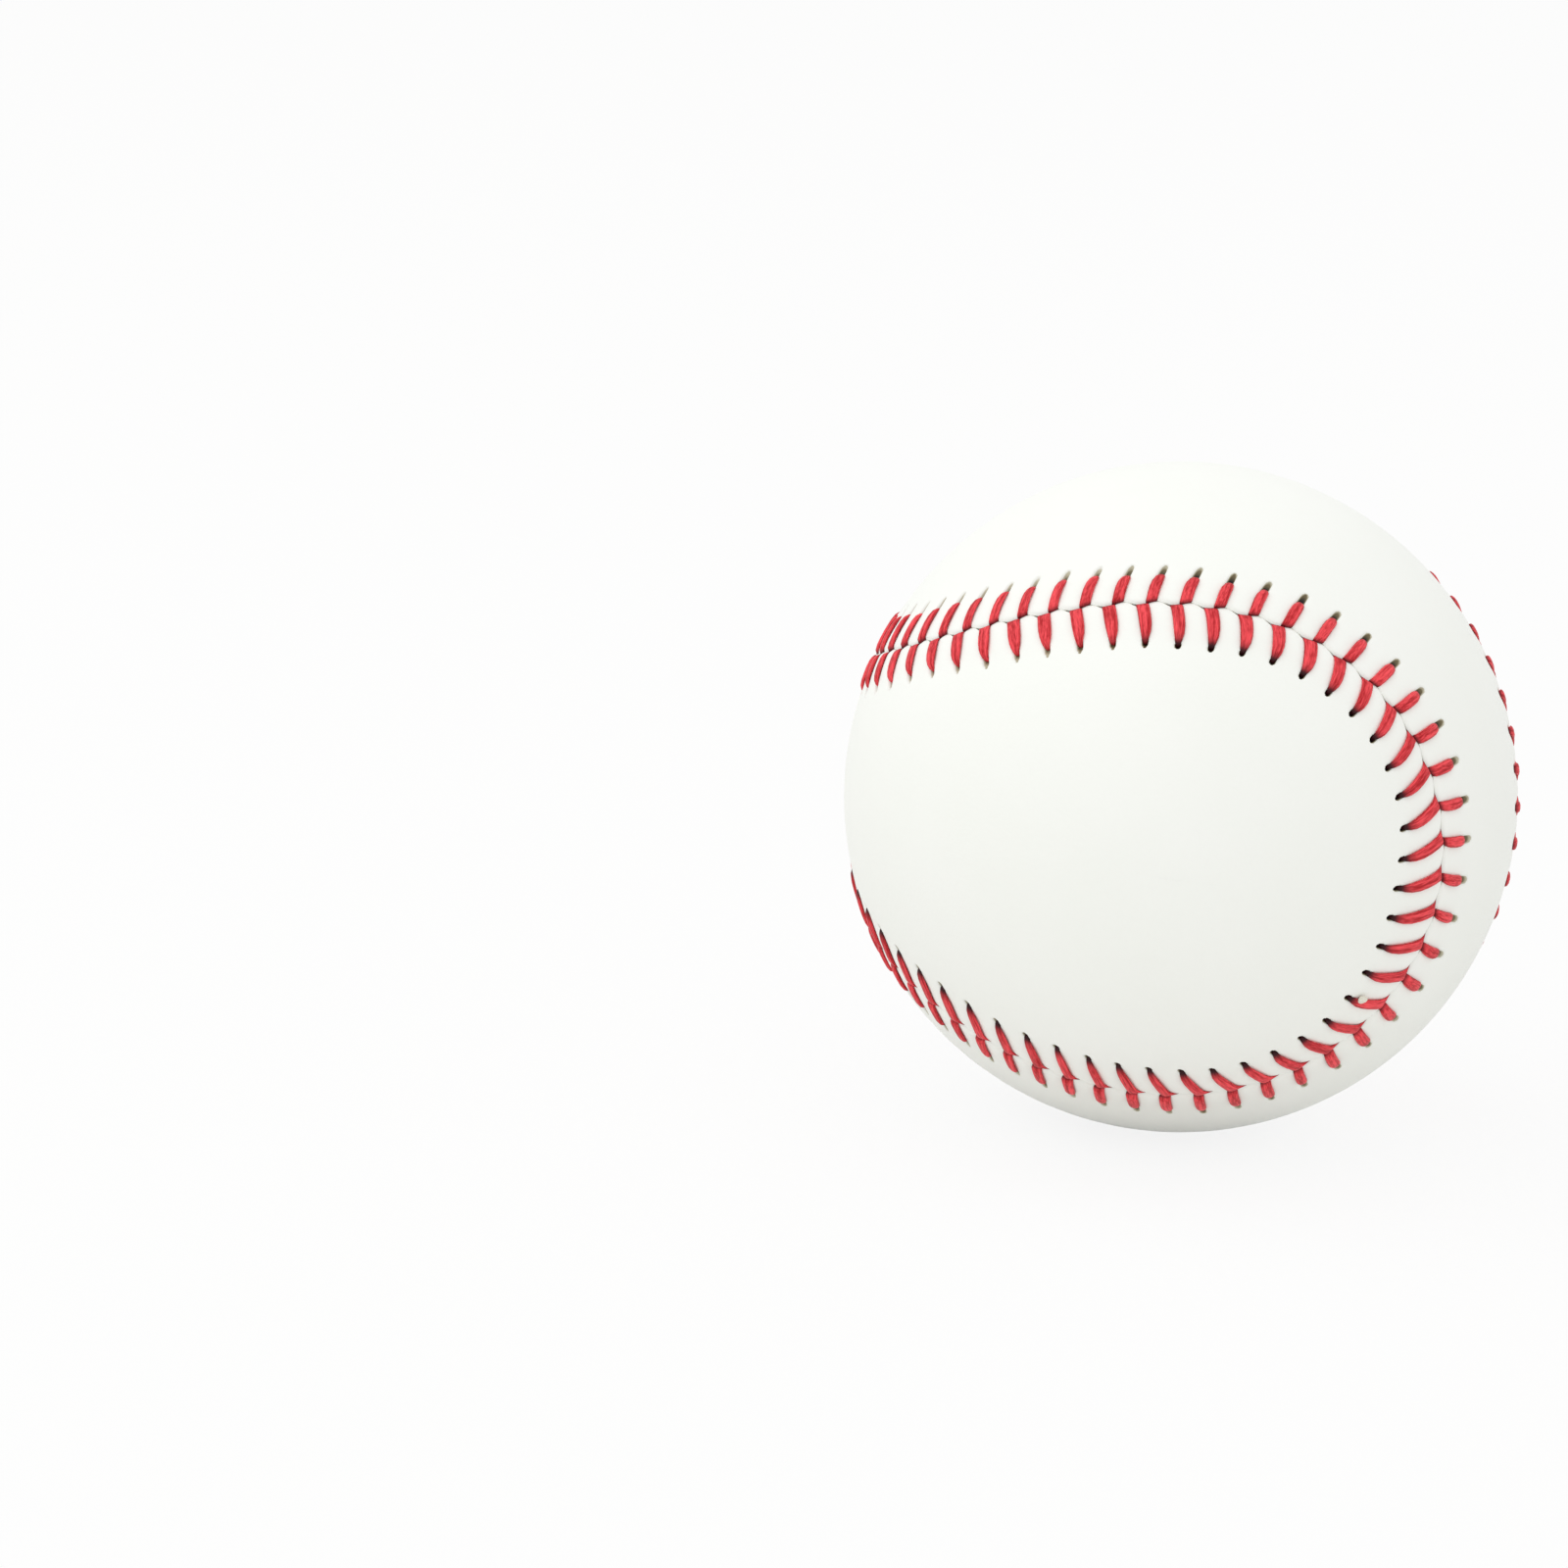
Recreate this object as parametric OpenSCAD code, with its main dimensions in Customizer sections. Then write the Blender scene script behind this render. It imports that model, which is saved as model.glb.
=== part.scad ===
// A sewn baseball: a cushioned cork core, four layers of yarn, two cover panels and the red thread.
// The origin is the ball's centre. The seam's own axis is X, so that each panel is the other one
// turned a quarter turn about X and flipped over. All lengths are in millimetres.

/* [Core] */
// Diameter of the cork ball in the middle
cork_d = 20.6; // [16:0.1:26]
// Wall of the two black rubber half shells
shell_t = 4; // [3:0.1:5]
// Thickness of the washer between the half shells
gasket_t = 0.8; // [0.4:0.1:1.6]
// Thickness of the red rubber jacket round the half shells
jacket_t = 2.4; // [1.6:0.1:3.2]

/* [Windings] */
// Depth of the thick grey wool that is wound first
first_winding_t = 14.4; // [10:0.1:18]
// Depth of the white wool
second_winding_t = 1.75; // [1:0.05:2.5]
// Depth of the fine grey wool
third_winding_t = 2.25; // [1.5:0.05:3]
// Depth of the white yarn that finishes the ball
finishing_winding_t = 0.45; // [0.3:0.05:0.8]
// Slack between one layer and the next
layer_fit = 0.05; // [0.02:0.01:0.08]

/* [Cover] */
// Thickness of the cover panels
cover_t = 1.2; // [1:0.05:1.6]
// Gap between the two panels along the seam
seam_gap = 0.4; // [0.36:0.02:0.5]
// How far from the seam the panel's edge starts to roll down
edge_roll_w = 0.9; // [0.7:0.05:1.2]
// How far down the edge has rolled where the panels meet
edge_roll_t = 0.5; // [0.3:0.05:0.6]

/* [Stitches] */
// Number of double stitches round the whole seam
stitch_count = 112; // [80:4:128]
// Distance of each row of holes from the seam
hole_row = 4.6; // [4:0.1:5]
// How much farther from the seam the holes lie round the end of a lobe
lobe_row = 1.4; // [0:0.1:1.6]
// Diameter of a punched hole
hole_d = 1.1; // [0.9:0.05:1.3]
// How far the holes lie ahead of the point of their stitch
hole_lead = 0.95; // [0.5:0.05:1.2]
// How far the holes drift along the seam where a panel bends
hole_drift = 1; // [0:0.05:1.5]
// How far the stitches are drawn along the seam, away from the ends of the lobes
point_drift = 0.8; // [0:0.05:1]
// Width of the thread where it lies pulled flat on the cover
leg_w = 1.3; // [1:0.05:1.6]
// Thickness of the thread there
leg_t = 0.5; // [0.4:0.02:0.6]
// Width of the thread in the holes and under the cover
run_w = 0.85; // [0.6:0.05:1]
// Thickness of the thread there, squeezed between the cover and the yarn
run_t = 0.3; // [0.2:0.02:0.34]
// Slack round the thread where it passes a panel or the yarn
thread_fit = 0.03; // [0.02:0.01:0.05]

/* [Hidden] */

// Outer radius of each layer, from the middle outwards
cork_r = cork_d / 2;
shell_r = cork_r + layer_fit + shell_t;
jacket_r = shell_r + layer_fit + jacket_t;
first_winding_r = jacket_r + layer_fit + first_winding_t;
second_winding_r = first_winding_r + layer_fit + second_winding_t;
third_winding_r = second_winding_r + layer_fit + third_winding_t;
finishing_winding_r = third_winding_r + layer_fit + finishing_winding_t;
cover_in_r = finishing_winding_r + layer_fit;
ball_r = cover_in_r + cover_t;

// Shape of the seam: how deep the waist pinches in, how full the lobes are, how flat the seam runs
pinch_share = 0.335;
full_share = 0.023;
flat_share = 0.033;
// Flat sides that stand for a full turn of a layer and of a hole
round_steps = 96;
hole_steps = 24;
// Steps in which the seam's length is measured
seam_steps = 720;
// Half the step over which the seam's direction is taken, in degrees
aim_step = 0.5;
// Where the first stitch lies, as a share of the way to the next
phase_share = 0.25;
// How closely the farther holes keep to the end of a lobe, as a power of a cosine
lobe_power = 8;
// How far the far face of a panel's trimming shape stands from the centre, as a multiple of the ball
clear_share = 3;

function unit(v) = v / norm(v);

// The seam, as a direction from the ball's centre at an angle v from 0 to 360
function seam(v) = unit([
    2 * sqrt((1 - pinch_share) * pinch_share) * cos(2 * v) + flat_share * cos(6 * v),
    (1 - pinch_share) * cos(v) - pinch_share * cos(3 * v) + full_share * cos(5 * v),
    (1 - pinch_share) * sin(v) + pinch_share * sin(3 * v) + full_share * sin(5 * v)
]);
function seam_along(v) = unit(seam(v + aim_step) - seam(v - aim_step));
// Across the seam, square to it, towards panel a
function seam_across(v) = unit(cross(seam(v), seam_along(v)));
// A direction that lies a distance w from the seam, measured on the ball's face
function beside_seam(v, w) = seam(v) * cos(face_angle(w)) + seam_across(v) * sin(face_angle(w));
// The angle at the ball's centre that a distance on its face spans
function face_angle(w) = w / ball_r * 180 / PI;

// The seam's length up to each step, in radii, beside the angle there
seam_table = [
    for (i = 0, run = 0;
         i <= seam_steps;
         run = run + norm(seam((i + 1) * 360 / seam_steps) - seam(i * 360 / seam_steps)), i = i + 1)
    [run, i * 360 / seam_steps]
];
seam_length = seam_table[seam_steps][0] * ball_r;
pitch = seam_length / stitch_count;
// The angle of the seam at a distance s along it
function seam_angle(s) = lookup((s / seam_length - floor(s / seam_length)) * seam_length / ball_r, seam_table);

// The place of stitch k along the seam, and that of its hole on panel a (side 1) or b (side -1)
function even_at(k) = (k + phase_share) * pitch;
function point_at(k) = even_at(k) + point_drift * sin(4 * seam_angle(even_at(k)));
function hole_at(k, side) = point_at(k) + hole_lead - side * hole_drift * sin(2 * seam_angle(point_at(k)));
// How near stitch k is to the end of the lobe on one side: 1 there, and 0 along the waist
function lobe_end(k, side) = pow(max(0, -side * cos(2 * seam_angle(point_at(k)))), lobe_power);
// The distance of its hole from the seam
function row_at(k, side) = hole_row + lobe_row * lobe_end(k, side);
far_row = hole_row + lobe_row;

// A spot on the way of the thread: s along the seam, w across it towards panel a, r from the centre
function spot(s, w, r) = beside_seam(seam_angle(s), w) * r;

// A straight stretch of thread sags below the ball's curve by this much in its middle
function leg_sag(row) = pow(row / 2, 2) / (2 * ball_r);
run_sag = (pow(far_row, 2) + pow(pitch, 2)) / (8 * cover_in_r);
// The panels are squeezed thinner beside the seam, by the thread that runs under them there
squeeze_w = far_row + hole_d;
squeeze_r = cover_in_r + run_t + run_sag + 2 * thread_fit;
// Radius at which the thread's middle runs on the face and under the cover
leg_r = ball_r + leg_t / 2 + thread_fit;
run_r = cover_in_r + run_t / 2 + run_sag + thread_fit;
// The two strands pass each other side by side where they dive into the seam
dive_side = (run_w + thread_fit) / 2;

// Where the thread of stitch k passes its hole, and where it lies beside the seam at a distance w
function hole_spot(k, side, r) = spot(hole_at(k, side), side * row_at(k, side), r);
function dive_spot(k, side, w, r) = spot(point_at(k) + side * dive_side, side * w, r);

// Swaps the sides of the seam: a quarter turn about X and a flip
module other_side() {
    mirror([1, 0, 0])
        rotate([90, 0, 0])
            children();
}

// One layer of the ball, between two radii
module layer(inner_r, outer_r) {
    difference() {
        sphere(r = outer_r, $fn = round_steps);
        sphere(r = inner_r, $fn = round_steps);
    }
}

module cork_core() {
    color("peru")
        sphere(r = cork_r, $fn = round_steps);
}

// Half of the black rubber layer, above the washer
module half_shell() {
    intersection() {
        layer(cork_r + layer_fit, shell_r);
        translate([0, 0, gasket_t / 2 + layer_fit])
            cylinder(r = jacket_r, h = jacket_r);
    }
}

module black_rubber_shell_a() {
    color("dimgray")
        half_shell();
}

module black_rubber_shell_b() {
    color("black")
        mirror([0, 0, 1])
            half_shell();
}

// A washer that fills the joint between the half shells from the cork to the jacket
module shell_gasket() {
    color("orangered")
        intersection() {
            layer(cork_r + layer_fit, shell_r);
            cylinder(r = jacket_r, h = gasket_t, center = true);
        }
}

module red_rubber_jacket() {
    color("firebrick")
        layer(shell_r + layer_fit, jacket_r);
}

module first_winding() {
    color("gray")
        layer(jacket_r + layer_fit, first_winding_r);
}

module second_winding() {
    color("whitesmoke")
        layer(first_winding_r + layer_fit, second_winding_r);
}

module third_winding() {
    color("silver")
        layer(second_winding_r + layer_fit, third_winding_r);
}

module finishing_winding() {
    color("ivory")
        layer(third_winding_r + layer_fit, finishing_winding_r);
}

// A space that is open outwards from the centre, on panel a's side of the seam. Each ring gives a
// distance from the seam and a radius, and the walls run from the centre through the rings in turn.
module seam_side(rings, n) {
    far_rings = concat(rings, [[rings[len(rings) - 1][0], ball_r * clear_share]]);
    points = concat(
        [[0, 0, 0]],
        [for (ring = far_rings) for (i = [0 : n - 1]) spot(i * seam_length / n, ring[0], ring[1])]
    );
    top = 1 + (len(far_rings) - 1) * n;
    fan = [for (i = [0 : n - 1]) [0, 1 + i, 1 + (i + 1) % n]];
    walls = [
        for (ring = [0 : len(far_rings) - 2])
        for (i = [0 : n - 1])
        let (a = 1 + ring * n + i, b = 1 + ring * n + (i + 1) % n)
        each [[a, a + n, b + n], [a, b + n, b]]
    ];
    // The far face is a row of rungs, each from a point to its mirror image across the panel
    lid = [
        for (i = [-n / 4 : n / 4 - 1])
        let (
            a = top + (i + n) % n,
            b = top + (i + 1 + n) % n,
            c = top + (n / 2 - i - 1 + n) % n,
            d = top + (n / 2 - i + n) % n
        )
        each concat(a == d ? [] : [[a, d, c]], b == c ? [] : [[a, c, b]])
    ];
    polyhedron(points, concat(fan, walls, lid));
}

// Turns a round layer so that its poles and its own seam line lie outside panel a
module poles_aside() {
    rotate([90, 0, 180])
        children();
}

// A cover panel: a layer of the ball on its side of the seam, with its edge rolled down into the
// seam, thinner underneath where the thread runs, and with a punched hole for each stitch
module cover_panel() {
    difference() {
        intersection() {
            poles_aside()
                layer(cover_in_r, ball_r);
            seam_side([
                [seam_gap / 2, ball_r - edge_roll_t],
                [edge_roll_w / 2, ball_r - edge_roll_t / 4],
                [edge_roll_w * 3 / 2, ball_r + edge_roll_t / 4]
            ], stitch_count);
        }
        difference() {
            poles_aside()
                sphere(r = squeeze_r, $fn = round_steps);
            seam_side([[squeeze_w, ball_r]], stitch_count / 2);
        }
        for (k = [0 : stitch_count - 1])
            hole(k);
    }
}

// A punched hole of panel a, square to its face
module hole(k) {
    out = hole_spot(k, 1, 1);
    rotate([0, acos(out.z), atan2(out.y, out.x)])
        translate([0, 0, cover_in_r - cover_t])
            cylinder(d = hole_d, h = 3 * cover_t, $fn = hole_steps);
}

module cover_panel_a() {
    color("white")
        cover_panel();
}

module cover_panel_b() {
    color("gainsboro")
        other_side()
            cover_panel();
}

// The thread's section: a flattened hexagon, as shares of its width and thickness
section_shares = [[-0.5, 0], [-0.3, 0.5], [0.3, 0.5], [0.5, 0], [0.3, -0.5], [-0.3, -0.5]];

// One ring of the thread at a place p: its width lies along wide and its thickness along thick
function ring(p, wide, thick, w, t) = [for (q = section_shares) p + wide * q.x * w + thick * q.y * t];

// The rings of stitch k on one side: up through the hole, over the face, down into the seam. The
// width stays along the seam, and the thickness turns with the thread, so a strand never twists.
function stitch_rings(k, side) =
    let (
        out = hole_spot(k, side, 1),
        low = dive_spot(k, side, 0, 1),
        mid = unit(out + low),
        wide = unit(cross(mid, low - out)) * side,
        hole_along = seam_along(seam_angle(hole_at(k, side))),
        hole_across = unit(cross(out, hole_along)),
        dive_along = seam_along(seam_angle(point_at(k))),
        dive_across = unit(cross(low, dive_along))
    )
    [
        ring(hole_spot(k, side, run_r), hole_along, hole_across - out * side, run_w, run_t),
        ring(hole_spot(k, side, leg_r), hole_along, hole_across + out * side, run_w, leg_t),
        ring(mid * (leg_r + leg_sag(row_at(k, side))), wide, mid * side, leg_w, leg_t),
        ring(dive_spot(k, side, edge_roll_w / 2, leg_r - edge_roll_t / 3), wide, low * side, leg_w, leg_t),
        ring(dive_spot(k, side, 0, run_r), dive_along, low * side - dive_across, run_w, run_t)
    ];

// A strand runs through every other stitch of each side, so that it weaves across the seam
module strand(first_side) {
    rings = [
        for (k = [stitch_count - 1 : -1 : 0])
        each stitch_rings(k, k % 2 == 0 ? first_side : -first_side)
    ];
    n = len(section_shares);
    count = len(rings);
    points = [for (r = rings) each r];
    faces = [
        for (i = [0 : count - 1])
        for (j = [0 : n - 1])
        let (
            a = i * n + j,
            b = i * n + (j + 1) % n,
            c = (i + 1) % count * n + (j + 1) % n,
            d = (i + 1) % count * n + j
        )
        each [[a, b, c], [a, c, d]]
    ];
    polyhedron(points, faces);
}

module seam_thread_a() {
    color("crimson")
        strand(1);
}

module seam_thread_b() {
    color("red")
        strand(-1);
}

cork_core();
black_rubber_shell_a();
black_rubber_shell_b();
shell_gasket();
red_rubber_jacket();
first_winding();
second_winding();
third_winding();
finishing_winding();
cover_panel_a();
cover_panel_b();
seam_thread_a();
seam_thread_b();
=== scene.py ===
"""A baseball at rest on a pale floor, in soft studio light.

The cover panels and the stitches are surfaces worked out beside the seam, on the same curve as the
part's own panels. Sizes are in millimetres until a mesh, a lamp or a texture is placed.
"""

import math

import bpy
import numpy as np
from mathutils import Matrix, Vector


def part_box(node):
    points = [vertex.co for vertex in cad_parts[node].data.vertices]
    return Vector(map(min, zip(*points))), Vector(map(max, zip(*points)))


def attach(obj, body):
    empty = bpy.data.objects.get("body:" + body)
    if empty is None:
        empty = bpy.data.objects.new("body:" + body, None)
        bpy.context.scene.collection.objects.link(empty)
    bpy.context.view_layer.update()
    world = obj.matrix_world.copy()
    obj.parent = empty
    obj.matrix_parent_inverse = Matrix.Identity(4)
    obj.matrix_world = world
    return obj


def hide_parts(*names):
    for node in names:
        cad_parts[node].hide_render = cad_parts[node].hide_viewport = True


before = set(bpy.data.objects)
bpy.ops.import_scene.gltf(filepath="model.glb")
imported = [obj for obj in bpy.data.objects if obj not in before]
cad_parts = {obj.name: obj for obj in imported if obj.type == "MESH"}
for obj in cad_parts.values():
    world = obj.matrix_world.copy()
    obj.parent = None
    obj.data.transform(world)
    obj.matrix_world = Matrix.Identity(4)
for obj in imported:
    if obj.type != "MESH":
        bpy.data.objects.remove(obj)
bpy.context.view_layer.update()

# Metres in a millimetre
MM = 0.001

# The ball's face and the wound core, from the frame, the slack between one layer and the next, and
# how far the cover stands off the core where the thread runs under it
BALL_R = float(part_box("cover_panel_a")[1][2]) / MM
CORE_R = float(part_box("finishing_winding")[1][2]) / MM
LAYER_FIT = 0.05
SQUEEZE_FIT = 0.55

# Shape of the seam: how deep the waist pinches in, how full the lobes are, how flat the seam runs
PINCH_SHARE = 0.335
FULL_SHARE = 0.023
FLAT_SHARE = 0.033
# Steps in which the seam's length is measured, and half the step over which its direction is taken
SEAM_STEPS = 7200
AIM_STEP = math.radians(0.25)

# The stitches: their number, where the first lies, and how far they are drawn along the seam, by a
# wave of four to the turn and one of two
STITCH_COUNT = 112
PHASE_SHARE = 0.25
POINT_DRIFT = 0.8
LOBE_DRIFT = 0.1
# The far ends of their holes on panel a (1) and panel b (-1): distance from the seam, with a wave of
# eight to the turn, and farther out round the end of a lobe
HOLE_ROW = {1: 5.15, -1: 5.33}
ROW_WAVE = {1: 0.15, -1: 0.35}
ROW_WAVE_START = {1: math.radians(30), -1: 0}
LOBE_ROW = 1.65
# How closely that keeps to the end of the lobe, as a power of a cosine, and how far past the end it
# has its middle
LOBE_POWER = 8
LOBE_SHIFT = math.radians(5)
# How far ahead of the stitch's point they lie: evenly, and by waves of two and four to the turn
HOLE_LEAD = {1: 0.5, -1: 0.99}
LEAD_SINE = {1: -1.08, -1: 0.98}
LEAD_COSINE = {1: 0.42, -1: 0.1}
LEAD_SHORT_SINE = {1: 0.45, -1: 0.15}
# The two threads of a stitch meet the seam side by side: how far each lies from its middle
DIVE_SIDE = {1: 0.3, -1: 0.42}
DIVE_WAVE = {1: 0.06, -1: 0.2}
DIVE_START = math.radians(130)
# How far ahead a leg of the stitch is bowed in its middle: evenly, by a wave, and where it is most
LEG_BOW = {1: -0.08, -1: 0}
BOW_WAVE = {1: 0.2, -1: 0.42}
BOW_START = {1: math.radians(15), -1: math.radians(-8)}
# How far each measure of a stitch strays, in millimetres or as a share, the numbers of its quick and
# slow waves round the seam, and the angle at which its quick ones start
STRAYS = {
    "hole_row": (0.14, 31, 19, 0),
    "hole_lead": (0.12, 35, 16, 2.1),
    "leg_width": (0.08, 39, 13, 4.2),
    "slit_length": (0.14, 43, 10, 6.3),
    "far_shade": (0.16, 47, 7, 8.4),
    "leg_bow": (0.06, 51, 4, 10.5),
}
SLOW_START = 1.7
# How far the thread draws the seam to one side and the other in each stitch, and how far from the
# seam the cover is drawn along
PULL = 0.22
PULL_REACH = 1.2

# The cover beside the seam: the closed joint, how far it opens where the thread dives into it, how
# far back along the seam and how wide, its rolled edges, the pillows between the stitches and how
# near the seam they are highest, the dents under the thread, and the slits that the thread has
# pulled the holes out to
JOINT_W = 0.02
DIVE_W = {1: 0.1, -1: 0.3}
DIVE_LAG = {1: 0, -1: 0.7}
DIVE_REACH = 0.65
EDGE_ROLL_T = 0.2
EDGE_ROLL_W = 0.26
PILLOW_T = 0.13
PILLOW_SKEW = 0.6
DENT_T = 0.09
DENT_W = 0.7
SLIT_LENGTH = {1: 1.25, -1: 0.85}
SLIT_W = {1: 0.56, -1: 0.54}
SLIT_T = 0.6
# How much shorter the slits are along a panel's waist, how deep they are at the far end, and how
# much wider they are beside the thread than in the middle, all as shares
WAIST_SHORTER = {1: 0, -1: 0.35}
FAR_DEPTH = 0.3
SLIT_FLARE = {1: 0.1, -1: 0.3}
# The oval of a slit: its middle and half its length, as shares of the way from the slit's far end to
# the thread, how blunt its ends are, where its wall starts inwards, and how wide the wall is
OVAL_MIDDLE = 0.65
OVAL_HALF = 0.74
OVAL_POWER = 8
WALL_START = 1.3
WALL_W = 0.55
# How much painted shade a slit has at its far end, as a share of the painted shade beside the
# thread: evenly, and by a wave
FAR_SHADE = {1: 0.38, -1: 0.56}
FAR_SHADE_WAVE = {1: 0, -1: 0.22}
# Along one stretch of the seam the holes have less painted shade, and panel b's are longer. How much
# of their painted shade is gone there and how much longer their slits are, the seam's angle at the
# middle of the stretch, and the cosines of the angle from there at which they are as elsewhere and
# pale all through
PALE_SHARE = {1: 0.4, -1: 0.52}
PALE_LENGTH = {1: 0, -1: 0.55}
PALE_MIDDLE = math.radians(100)
PALE_ENDS = (0.72, 0.88)
# How dark the joint is where the thread goes down: the raw edge of the cover, and mostly painted
# shade in the gap
EDGE_HIDE_AND_SHADE = 0.75

# The grid of a cover panel: columns per stitch, how much closer they stand at a hole, and how far
# the band with the relief reaches from the seam
STITCH_COLUMNS = 14
COLUMN_CROWD = 0.64
BAND_W = 8.4
SPINE_REACH = math.radians(108)

# The thread, pulled flat on the cover
LEG_W = {1: 1.2, -1: 1.36}
# How much slimmer it is, as a share, where a panel bends out of its lobe, and how closely it keeps
# to that place, as a power of a sine
SLIMMER = {1: 0, -1: 0.22}
SLIMMER_POWER = 3
LEG_T = 0.46
# How far the rear edge reaches back at the seam: evenly, and for each millimetre that the hole lies
# ahead, and up to what distance from the seam
TAIL = {1: 0.1, -1: 0.2}
TAIL_LEAD = {1: 0, -1: 0.42}
TAIL_REACH = 0.8
# How far the front edge is pinched in at the seam on the waist, and up to what distance from it
PINCH = {1: 0.16, -1: 0}
PINCH_REACH = 1.0
# From this much bow to one side to as much to the other, the tip goes over to the other edge
TIP_BOW = 0.3


def unit(v):
    """Each vector divided by its own length."""
    return v / np.linalg.norm(v, axis=-1, keepdims=True)


def smooth(x):
    """0 below 0, 1 above 1, and an even S between."""
    x = np.clip(x, 0, 1)
    return x * x * (3 - 2 * x)


def part(a, b, share):
    """The value part of the way from a to b."""
    return a + (b - a) * share


def seam(v):
    """The seam as directions from the centre, at angles v from 0 to a full turn. X swings twice a
    turn, Y and Z run round once, pinched by a third harmonic and filled out by a fifth, and the
    result is brought to unit length."""
    swing = 2 * math.sqrt((1 - PINCH_SHARE) * PINCH_SHARE)
    x = swing * np.cos(2 * v) + FLAT_SHARE * np.cos(6 * v)
    y = (1 - PINCH_SHARE) * np.cos(v) - PINCH_SHARE * np.cos(3 * v) + FULL_SHARE * np.cos(5 * v)
    z = (1 - PINCH_SHARE) * np.sin(v) + PINCH_SHARE * np.sin(3 * v) + FULL_SHARE * np.sin(5 * v)
    return unit(np.stack([x, y, z], -1))


def seam_across(v):
    """The direction across the seam, towards panel a: the seam's direction from the centre crossed
    with its own run, which is the difference of two spots close by."""
    return unit(np.cross(seam(v), seam(v + AIM_STEP) - seam(v - AIM_STEP)))


TURN = np.linspace(0, 2 * math.pi, SEAM_STEPS + 1)
STEPS = np.linalg.norm(np.diff(seam(TURN), axis=0), axis=-1)
RUN = np.concatenate([[0], np.cumsum(STEPS)]) * BALL_R
SEAM_LENGTH = RUN[-1]
PITCH = SEAM_LENGTH / STITCH_COUNT


def seam_angle(s):
    """The seam's angle at a distance s along it, read off its running length."""
    return np.interp(s % SEAM_LENGTH, RUN, TURN)


def stray(q, side, measure):
    """How far a measure of stitch q strays by the unevenness of handwork: the mean of a quick and a
    slow sine, with whole numbers of waves round the seam, times the measure's own reach."""
    reach, quick_waves, slow_waves, start = STRAYS[measure]
    turn = 2 * math.pi * q / STITCH_COUNT
    quick = np.sin(quick_waves * turn + start + side)
    slow = np.sin(slow_waves * turn + SLOW_START * side)
    return reach * (quick + slow) / 2


def point_drift(s):
    """How far ahead of its even place a stitch at a distance s along the seam lies: a sine with four
    waves to the turn and a cosine with two."""
    v = seam_angle(s)
    return POINT_DRIFT * np.sin(4 * v) + LOBE_DRIFT * np.cos(2 * v)


def point_at(q):
    """Distance along the seam of the point of stitch q: even steps, each with its drift."""
    even = (q + PHASE_SHARE) * PITCH
    return even + point_drift(even)


def pull(s, w):
    """How far towards panel a the thread draws a spot at s along the seam and w beside it: a sine
    with one wave to the stitch, from panel b before its point to panel a after it, that dies away
    from the seam by a bell curve."""
    q = (s - point_drift(s)) / PITCH - PHASE_SHARE
    return PULL * np.sin(2 * math.pi * q) * np.exp(-(w / PULL_REACH) ** 2)


def lobe_end(q, side):
    """How near stitch q is to the end of the lobe on one side: a power of a cosine, 1 at the end
    and 0 along the waist."""
    v = seam_angle(point_at(q)) - LOBE_SHIFT
    return np.maximum(0, -side * np.cos(2 * v)) ** LOBE_POWER


def hole_row(q, side):
    """Distance from the seam of the far end of the hole of stitch q: a cosine of eight waves to the
    turn, farther out at the end of a lobe, a little uneven."""
    v = seam_angle(point_at(q)) - ROW_WAVE_START[side]
    row = HOLE_ROW[side] + ROW_WAVE[side] * np.cos(8 * v)
    return row + LOBE_ROW * lobe_end(q, side) + stray(q, side, "hole_row")


def hole_lead(q, side):
    """How far ahead of the stitch's point its hole lies: it drifts by waves of two and four to the
    turn, where a panel bends."""
    v = seam_angle(point_at(q))
    drift = LEAD_SINE[side] * np.sin(2 * v) + LEAD_COSINE[side] * np.cos(2 * v)
    drift = drift + LEAD_SHORT_SINE[side] * np.sin(4 * v)
    return HOLE_LEAD[side] + drift + stray(q, side, "hole_lead")


def leg_bow(q, side):
    """How far ahead the leg of stitch q is bowed in its middle, by a wave of two to the turn."""
    v = seam_angle(point_at(q)) - BOW_START[side]
    return LEG_BOW[side] + BOW_WAVE[side] * np.cos(2 * v) + stray(q, side, "leg_bow")


def in_pale_stretch(q):
    """How far stitch q lies inside the pale stretch, from 0 to 1: an S of the cosine of the seam's
    angle from the middle of the stretch."""
    near = np.cos(seam_angle(point_at(q)) - PALE_MIDDLE)
    start, end = PALE_ENDS
    return smooth((near - start) / (end - start))


def slit_length(q, side):
    """Length of the open slit between the thread and the far end of its hole, shorter along panel
    b's waist, but longer in the pale stretch."""
    shorter = WAIST_SHORTER[side] * (1 - lobe_end(q, side))
    usual = SLIT_LENGTH[side] * (1 - shorter + stray(q, side, "slit_length"))
    return usual + PALE_LENGTH[side] * in_pale_stretch(q)


def far_shade(q, side):
    """How much painted shade the slit of stitch q has at its far end, as a share of the painted shade
    beside the thread.
    """
    wave = FAR_SHADE_WAVE[side] * np.cos(2 * seam_angle(point_at(q)))
    return FAR_SHADE[side] + wave + stray(q, side, "far_shade")


def hole_shade(q, side):
    """How much painted shade the hole of stitch q has, as a share of the usual."""
    return 1 - PALE_SHARE[side] * in_pale_stretch(q)


def leg_line(q, w, side):
    """Distance along the seam of the middle of stitch q at a distance w from the seam: a straight
    line from beside the stitch's point to the far end of its hole, bowed ahead by a half sine."""
    t = np.minimum(1, w / hole_row(q, side))
    wave = np.cos(2 * (seam_angle(point_at(q)) - DIVE_START))
    dive = DIVE_SIDE[side] + DIVE_WAVE[side] * wave
    straight = side * dive * (1 - t) + hole_lead(q, side) * t
    return point_at(q) + straight + leg_bow(q, side) * np.sin(t * math.pi)


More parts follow.
